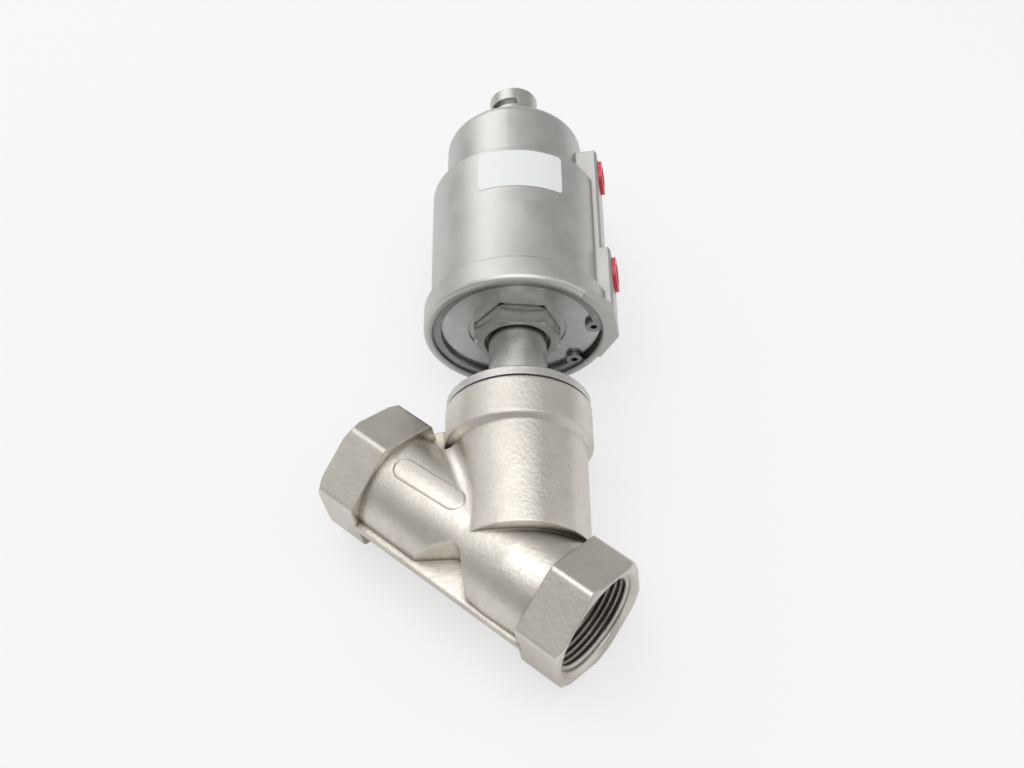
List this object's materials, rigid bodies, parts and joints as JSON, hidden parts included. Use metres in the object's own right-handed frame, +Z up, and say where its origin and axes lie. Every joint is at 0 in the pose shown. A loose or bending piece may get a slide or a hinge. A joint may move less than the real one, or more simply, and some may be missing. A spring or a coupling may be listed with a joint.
{
  "type": "angle seat valve",
  "caption": "Pneumatic angle seat valve lying on its side: Y-shaped cast body with two hexagon threaded ports, slanted stem and a round piston actuator.",
  "frame": {"origin": "centre of the inlet port's mouth, on the flow axis", "axes": "+X along the flow axis to the outlet port; +Z up as the valve lies on its side, resting on both hexagons and the actuator's lip; the stem leans 50 degrees from +X towards -Y and slightly up"},
  "size_m": [0.2032, 0.2184, 0.0839],
  "materials": {
    "cast_stainless": "pickled investment casting, satin",
    "blasted_stainless": "fine bead blast",
    "turned_stainless": "fine turned",
    "polished_stem": "ground and polished",
    "phosphated_spring_steel": "dark phosphated",
    "spring_steel": "bright spring wire",
    "piston_aluminium": "turned",
    "ptfe_white": "machined white plastic",
    "carbon_filled_ptfe": "dark filled plastic",
    "seal_rubber": "black rubber",
    "gasket_dark": "pressed sheet gasket",
    "red_plastic": "soft moulded cap",
    "indicator_orange": "moulded rod",
    "clear_sleeve": "smooth white moulding"
  },
  "bodies": {
    "valve": {"valve_body": "cast_stainless", "body_gasket": "gasket_dark", "bonnet": "turned_stainless", "stem_guide": "carbon_filled_ptfe", "packing_support": "turned_stainless", "chevron_rings": "ptfe_white", "packing_washer": "turned_stainless", "packing_spring": "spring_steel", "gland_bush": "carbon_filled_ptfe", "bottom_cover": "turned_stainless", "cover_o_ring": "seal_rubber", "stem_o_ring": "seal_rubber", "lock_nut": "turned_stainless"},
    "actuator": {"housing": "blasted_stainless", "retaining_ring": "phosphated_spring_steel", "upper_spring_plate": "turned_stainless", "main_spring": "spring_steel", "indicator_cap": "blasted_stainless", "sight_sleeve": "clear_sleeve", "rod_bush": "carbon_filled_ptfe"},
    "spindle": {"stem": "polished_stem", "plug": "turned_stainless", "seal_disc": "ptfe_white", "seal_keeper": "turned_stainless", "plug_nut": "turned_stainless", "piston": "piston_aluminium", "piston_seal": "seal_rubber", "guide_band": "carbon_filled_ptfe", "piston_o_ring": "seal_rubber", "piston_washer": "turned_stainless", "piston_nut": "turned_stainless", "lower_spring_plate": "turned_stainless", "indicator_rod": "indicator_orange"},
    "upper_cap": {"upper_port_plug": "red_plastic"},
    "lower_cap": {"lower_port_plug": "red_plastic"}
  },
  "joints": [
    {"name": "actuator_turn", "type": "hinge", "parent": "valve", "child": "actuator", "pos_m": [0.0375, 0, 0], "axis": [0.6428, -0.758, 0.1106], "continuous": true},
    {"name": "spindle_lift", "type": "slide", "parent": "valve", "child": "spindle", "axis": [0.6428, -0.758, 0.1106], "range_m": [0, 0.012], "stiffness_N_per_m": 10000, "springref_m": -0.02, "deforming": ["main_spring"]},
    {"name": "upper_cap_pull", "type": "slide", "parent": "actuator", "child": "upper_cap", "axis": [-0.7642, -0.6244, 0.1616], "range_m": [0, 0.012]},
    {"name": "lower_cap_pull", "type": "slide", "parent": "actuator", "child": "lower_cap", "axis": [-0.7642, -0.6244, 0.1616], "range_m": [0, 0.012]}
  ]
}
